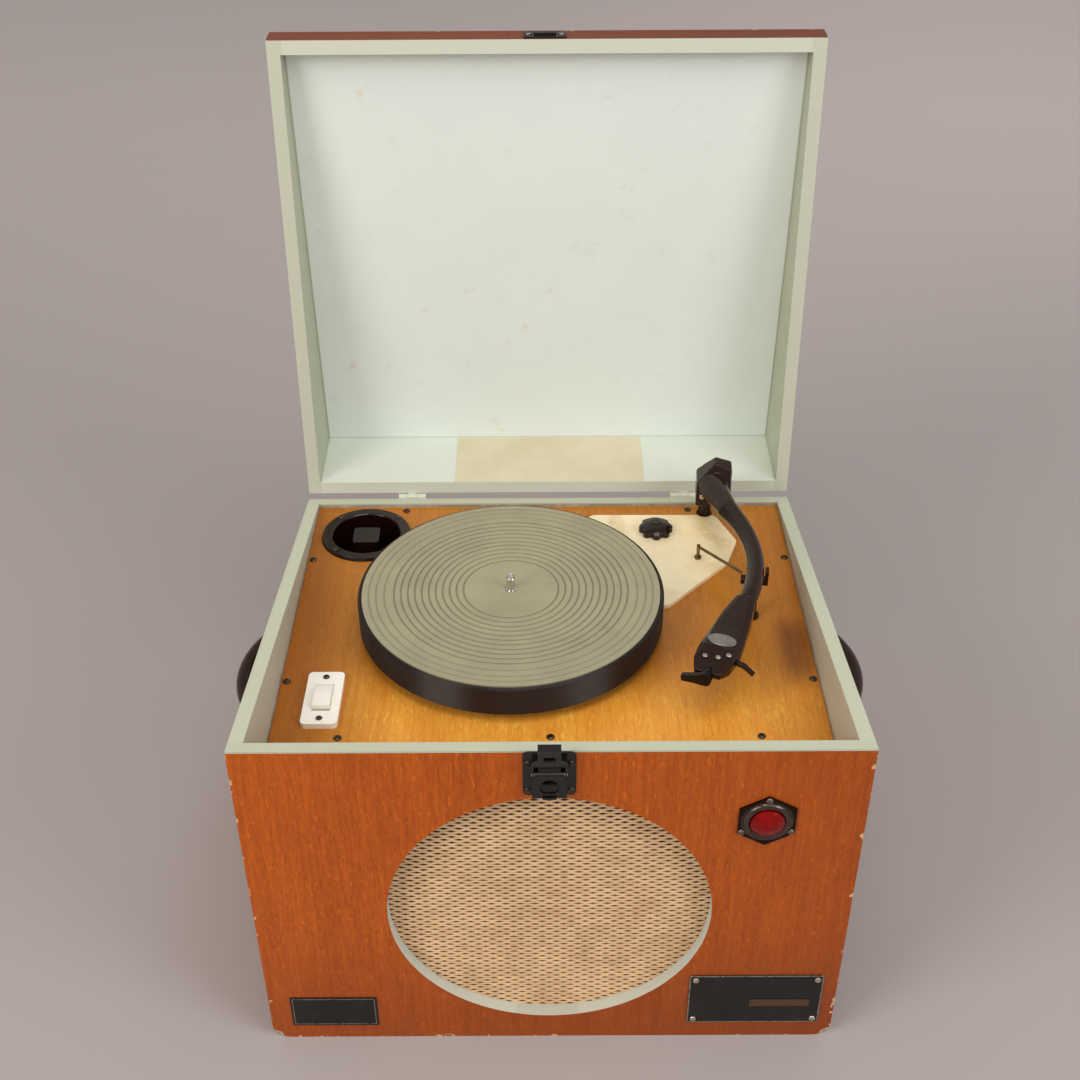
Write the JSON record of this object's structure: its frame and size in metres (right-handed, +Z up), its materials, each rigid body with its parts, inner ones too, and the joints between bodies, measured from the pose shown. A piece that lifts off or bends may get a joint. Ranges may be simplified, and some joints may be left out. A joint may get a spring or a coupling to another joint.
{
  "type": "portable record player",
  "caption": "Portable record player: veneered plywood case with a wedge lid that hinges open, idler-driven turntable, curved bakelite arm and a round front loudspeaker grille.",
  "frame": {"origin": "centre of the case's flat underside, on the surface it stands on", "axes": "+X to the case's right as seen from the front, +Y to the back, +Z up; the front panel faces -Y"},
  "size_m": [0.533, 0.515, 0.6827],
  "materials": {
    "veneer_red": "satin lacquered red-brown veneer",
    "veneer_gold": "satin lacquered golden veneer",
    "painted_rim": "matt grey-green paint on wood",
    "plain_wood": "bare softwood and board",
    "grille_gold": "satin cream-gold expanded metal",
    "cloth": "woven loudspeaker cloth",
    "paper_cone": "matt pressed paper",
    "steel_grey": "satin grey enamel",
    "steel_bright": "bright machined steel",
    "steel_screws": "zinc-plated steel",
    "glass_valves": "clear glass",
    "lamination": "black varnished laminations",
    "black_plastic": "glossy black bakelite",
    "cream_enamel": "satin cream enamel",
    "cream_plastic": "glossy ivory plastic",
    "brown_bakelite": "glossy dark brown bakelite",
    "platter_brown": "gloss dark brown enamel",
    "mat_rubber": "matt grey-olive moulded rubber",
    "chrome": "polished chrome",
    "bronze": "plain bronze",
    "idler_rubber": "ground black rubber tyre",
    "black_metal": "worn black lacquer",
    "grey_brown_metal": "gloss dark brown lacquer",
    "red_lens": "clear ruby plastic",
    "plate_black": "black enamelled plates",
    "paper_label": "printed cream paper, print left off"
  },
  "bodies": {
    "case": {"case_front": "veneer_red", "case_sides": "veneer_red", "case_back": "veneer_red", "case_bottom": "plain_wood", "case_battens": "plain_wood", "deck_board": "veneer_gold", "deck_screws": "steel_screws", "fitting_screws": "steel_screws", "machine_bolts": "steel_screws", "speaker_baffle": "plain_wood", "grille_mesh": "grille_gold", "speaker_cloth": "cloth", "speaker_frame": "steel_grey", "speaker_cone": "paper_cone", "speaker_magnet": "steel_bright", "amp_chassis": "steel_bright", "valves": "glass_valves", "transformers": "lamination", "mains_inlet": "black_plastic", "unit_plate": "cream_enamel", "bearing_housing": "bronze", "motor_body": "steel_grey", "control_cup": "black_plastic", "switch_plate": "cream_plastic", "arm_pillar": "brown_bakelite", "arm_rest": "brown_bakelite", "latch_plate": "black_metal", "case_hinge_leaves": "painted_rim", "carrying_handles": "brown_bakelite", "handle_brackets": "grey_brown_metal", "lamp_bezel": "grey_brown_metal", "lamp_lens": "red_lens", "lamp_holder": "steel_bright", "name_plates": "plate_black"},
    "lid": {"lid_frame": "veneer_red", "lid_panel": "veneer_red", "lid_label": "paper_label", "lid_screws": "steel_screws", "latch_keeper": "black_metal", "lid_hinge_leaves": "painted_rim"},
    "turntable": {"platter": "platter_brown", "platter_mat": "mat_rubber", "spindle": "chrome"},
    "motor_rotor": {"motor_spindle": "steel_bright"},
    "idler_carrier": {"idler_arm": "steel_bright"},
    "idler": {"idler_wheel": "idler_rubber"},
    "speed_selector": {"speed_knob": "black_plastic"},
    "volume": {"volume_knob": "black_plastic"},
    "rocker": {"switch_rocker": "cream_plastic"},
    "arm_swivel": {"arm_yoke": "steel_bright"},
    "arm": {"tonearm": "brown_bakelite", "head_shell": "brown_bakelite", "head_badge": "chrome", "arm_screws": "chrome", "finger_lift": "brown_bakelite"},
    "stylus": {"stylus_holder": "steel_grey"},
    "trip": {"trip_rod": "black_metal"},
    "catch_lever": {"latch_lever": "black_metal", "latch_pin": "steel_bright"},
    "catch_claw": {"latch_claw": "black_metal"}
  },
  "joints": [
    {"name": "lid_hinge", "type": "hinge", "parent": "case", "child": "lid", "pos_m": [0, 0.2105, 0.2585], "axis": [1, 0, 0], "range_deg": [0, 86.25]},
    {"name": "turntable_spin", "type": "hinge", "parent": "case", "child": "turntable", "pos_m": [-0.032, 0.019, 0.27], "axis": [0, 0, 1], "continuous": true},
    {"name": "motor_spin", "type": "hinge", "parent": "case", "child": "motor_rotor", "pos_m": [0.02118, 0.05461, 0.25], "axis": [0, 0, 1], "continuous": true},
    {"name": "idler_lift", "type": "slide", "parent": "case", "child": "idler_carrier", "axis": [0, 0, 1], "range_m": [0, 0.008]},
    {"name": "idler_spin", "type": "hinge", "parent": "idler_carrier", "child": "idler", "pos_m": [0.03814, 0.08556, 0.268], "axis": [0, 0, 1], "continuous": true},
    {"name": "speed_turn", "type": "hinge", "parent": "case", "child": "speed_selector", "pos_m": [0.099, 0.1485, 0.262], "axis": [0, 0, 1], "range_deg": [0, 80]},
    {"name": "volume_turn", "type": "hinge", "parent": "case", "child": "volume", "pos_m": [-0.168, 0.1485, 0.235], "axis": [0, 0, 1], "range_deg": [-150, 150]},
    {"name": "rocker_tilt", "type": "hinge", "parent": "case", "child": "rocker", "pos_m": [-0.18, -0.0825, 0.2593], "axis": [1, 0, 0], "range_deg": [0, 14]},
    {"name": "arm_swing", "type": "hinge", "parent": "case", "child": "arm_swivel", "pos_m": [0.1465, 0.1785, 0.28], "axis": [0, 0, 1], "range_deg": [-33, 0]},
    {"name": "arm_lift", "type": "hinge", "parent": "arm_swivel", "child": "arm", "pos_m": [0.1465, 0.1785, 0.288], "axis": [0.9968, -0.0802, 0], "range_deg": [-20, 0]},
    {"name": "stylus_turnover", "type": "hinge", "parent": "arm", "child": "stylus", "pos_m": [0.11929, -0.10366, 0.3], "axis": [-0.4226, -0.9063, 0], "range_deg": [-180, 0]},
    {"name": "trip_swing", "type": "hinge", "parent": "case", "child": "trip", "pos_m": [0.134, 0.1055, 0.27], "axis": [0, 0, 1], "range_deg": [-20, 5]},
    {"name": "catch_lever_swing", "type": "hinge", "parent": "case", "child": "catch_lever", "pos_m": [-0.0014, -0.2115, 0.312], "axis": [1, 0, 0], "range_deg": [-110, 0]},
    {"name": "catch_claw_swing", "type": "hinge", "parent": "catch_lever", "child": "catch_claw", "pos_m": [-0.0014, -0.215, 0.305], "axis": [1, 0, 0], "range_deg": [-12, 110]}
  ],
  "couplings": [
    {"joint": "motor_spin", "follows": "turntable_spin", "ratio": -17.857},
    {"joint": "idler_spin", "follows": "turntable_spin", "ratio": 4.4643},
    {"joint": "speed_turn", "follows": "idler_lift", "rad_per_m": 174.5},
    {"joint": "catch_claw_swing", "follows": "catch_lever_swing", "ratio": -1}
  ]
}
